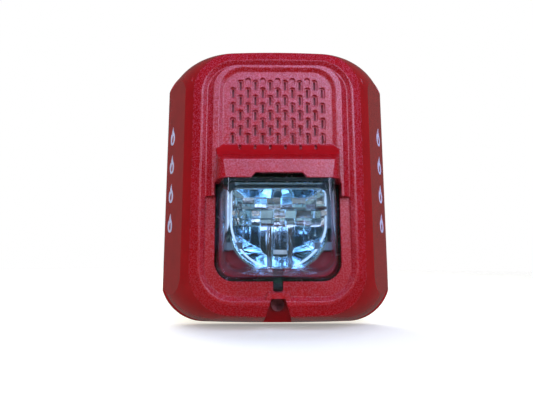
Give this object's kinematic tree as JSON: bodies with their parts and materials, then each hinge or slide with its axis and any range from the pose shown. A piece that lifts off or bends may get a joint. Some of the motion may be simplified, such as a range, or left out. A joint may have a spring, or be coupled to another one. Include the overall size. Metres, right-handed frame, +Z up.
{
  "type": "wall horn strobe",
  "caption": "Red wall-mounted fire alarm horn strobe: hinged head with slotted sounder grille, clear flash lens, and a wall plate with field terminals.",
  "frame": {"origin": "centre of the mounting plate's back face, on the wall", "axes": "+Z up, +Y into the wall, +X to the right seen from the room"},
  "size_m": [0.1194, 0.0485, 0.1422],
  "materials": {
    "red_shell": "moulded, spark-textured on the front faces, smooth and glossy on the flanks",
    "clear_lens": "clear polycarbonate, polished",
    "mirror_chrome": "vacuum-metallised mirror",
    "tube_glass": "clear glass",
    "lead_metal": "tinned wire",
    "red_baffle": "moulded red",
    "frame_grey": "moulded dark grey, glossy",
    "black_plastic": "fine matte",
    "disc_brass": "rolled brass",
    "ceramic_white": "silvered ceramic",
    "board_green": "solder mask",
    "capacitor_sleeve": "shrink sleeve",
    "ferrite": "ferrite",
    "copper_wire": "enamelled copper",
    "chip_black": "moulded epoxy",
    "tin_brass": "tin-plated brass",
    "grey_cover": "moulded dark grey",
    "screw_steel": "zinc plated",
    "screw_dark": "black oxide",
    "white_slider": "moulded white",
    "dial_white": "moulded white",
    "plate_white": "moulded off-white, lightly textured",
    "insert_brass": "turned brass",
    "block_black": "moulded black",
    "spring_steel": "sprung steel",
    "clamp_steel": "zinc plated"
  },
  "bodies": {
    "wall_plate": {"mounting_plate": "plate_white", "screw_insert": "insert_brass", "terminal_block": "block_black", "terminal_contacts": "tin_brass"},
    "head": {"front_housing": "red_shell", "lens": "clear_lens", "reflector": "mirror_chrome", "reflector_frame": "frame_grey", "flash_tube": "tube_glass", "tube_electrodes": "lead_metal", "trigger_wire": "lead_metal", "sound_baffle": "red_baffle", "sound_chamber": "black_plastic", "piezo_disc": "disc_brass", "piezo_ceramic": "ceramic_white", "piezo_contacts": "lead_metal", "circuit_board": "board_green", "flash_capacitor": "capacitor_sleeve", "inductor_core": "ferrite", "inductor_winding": "copper_wire", "trigger_transformer": "ferrite", "board_chips": "chip_black", "plug_blades": "tin_brass", "rear_cover": "grey_cover", "cover_screws": "screw_steel", "dial_base": "black_plastic"},
    "screw_carrier": {"screw_retainer": "black_plastic"},
    "mounting_screw": {"captive_screw": "screw_dark"},
    "candela_slide": {"candela_selector": "white_slider"},
    "tone_dial": {"tone_selector": "dial_white"},
    "shorting_leaf": {"shorting_spring": "spring_steel"},
    "clamp_1": {"terminal_clamp_1": "clamp_steel"},
    "clamp_screw_1": {"terminal_screw_1": "screw_steel"},
    "clamp_2": {"terminal_clamp_2": "clamp_steel"},
    "clamp_screw_2": {"terminal_screw_2": "screw_steel"},
    "clamp_3": {"terminal_clamp_3": "clamp_steel"},
    "clamp_screw_3": {"terminal_screw_3": "screw_steel"},
    "clamp_4": {"terminal_clamp_4": "clamp_steel"},
    "clamp_screw_4": {"terminal_screw_4": "screw_steel"}
  },
  "joints": [
    {"name": "head_swing", "type": "hinge", "parent": "wall_plate", "child": "head", "pos_m": [0, 0, 0.0711], "axis": [-1, 0, 0], "range_deg": [0, 20]},
    {"name": "mounting_screw_draw", "type": "slide", "parent": "head", "child": "screw_carrier", "axis": [0, -1, 0], "range_m": [0, 0.006]},
    {"name": "mounting_screw_turn", "type": "hinge", "parent": "screw_carrier", "child": "mounting_screw", "pos_m": [0, -0.02, -0.0597], "axis": [0, -1, 0], "range_deg": [0, 3086]},
    {"name": "candela_slide_travel", "type": "slide", "parent": "head", "child": "candela_slide", "axis": [0, 0, 1], "range_m": [0, 0.006]},
    {"name": "tone_dial_turn", "type": "hinge", "parent": "head", "child": "tone_dial", "pos_m": [-0.03, -0.01, 0.005], "axis": [0, 1, 0], "range_deg": [0, 315]},
    {"name": "shorting_leaf_flex", "type": "hinge", "parent": "wall_plate", "child": "shorting_leaf", "pos_m": [0, -0.0048, -0.0025], "axis": [1, 0, 0], "range_deg": [0, 8.1]},
    {"name": "clamp_lift_1", "type": "slide", "parent": "wall_plate", "child": "clamp_1", "axis": [0, -1, 0], "range_m": [0, 0.0015]},
    {"name": "clamp_screw_turn_1", "type": "hinge", "parent": "clamp_1", "child": "clamp_screw_1", "pos_m": [-0.015, -0.006, -0.012], "axis": [0, -1, 0], "range_deg": [0, 1080.1]},
    {"name": "clamp_lift_2", "type": "slide", "parent": "wall_plate", "child": "clamp_2", "axis": [0, -1, 0], "range_m": [0, 0.0015]},
    {"name": "clamp_screw_turn_2", "type": "hinge", "parent": "clamp_2", "child": "clamp_screw_2", "pos_m": [-0.005, -0.006, -0.012], "axis": [0, -1, 0], "range_deg": [0, 1080.1]},
    {"name": "clamp_lift_3", "type": "slide", "parent": "wall_plate", "child": "clamp_3", "axis": [0, -1, 0], "range_m": [0, 0.0015]},
    {"name": "clamp_screw_turn_3", "type": "hinge", "parent": "clamp_3", "child": "clamp_screw_3", "pos_m": [0.005, -0.006, -0.012], "axis": [0, -1, 0], "range_deg": [0, 1080.1]},
    {"name": "clamp_lift_4", "type": "slide", "parent": "wall_plate", "child": "clamp_4", "axis": [0, -1, 0], "range_m": [0, 0.0015]},
    {"name": "clamp_screw_turn_4", "type": "hinge", "parent": "clamp_4", "child": "clamp_screw_4", "pos_m": [0.015, -0.006, -0.012], "axis": [0, -1, 0], "range_deg": [0, 1080.1]}
  ],
  "couplings": [
    {"joint": "mounting_screw_turn", "follows": "mounting_screw_draw", "rad_per_m": 8976},
    {"joint": "shorting_leaf_flex", "follows": "head_swing", "ratio": 0.4},
    {"joint": "clamp_screw_turn_1", "follows": "clamp_lift_1", "rad_per_m": 12566},
    {"joint": "clamp_screw_turn_2", "follows": "clamp_lift_2", "rad_per_m": 12566},
    {"joint": "clamp_screw_turn_3", "follows": "clamp_lift_3", "rad_per_m": 12566},
    {"joint": "clamp_screw_turn_4", "follows": "clamp_lift_4", "rad_per_m": 12566}
  ]
}
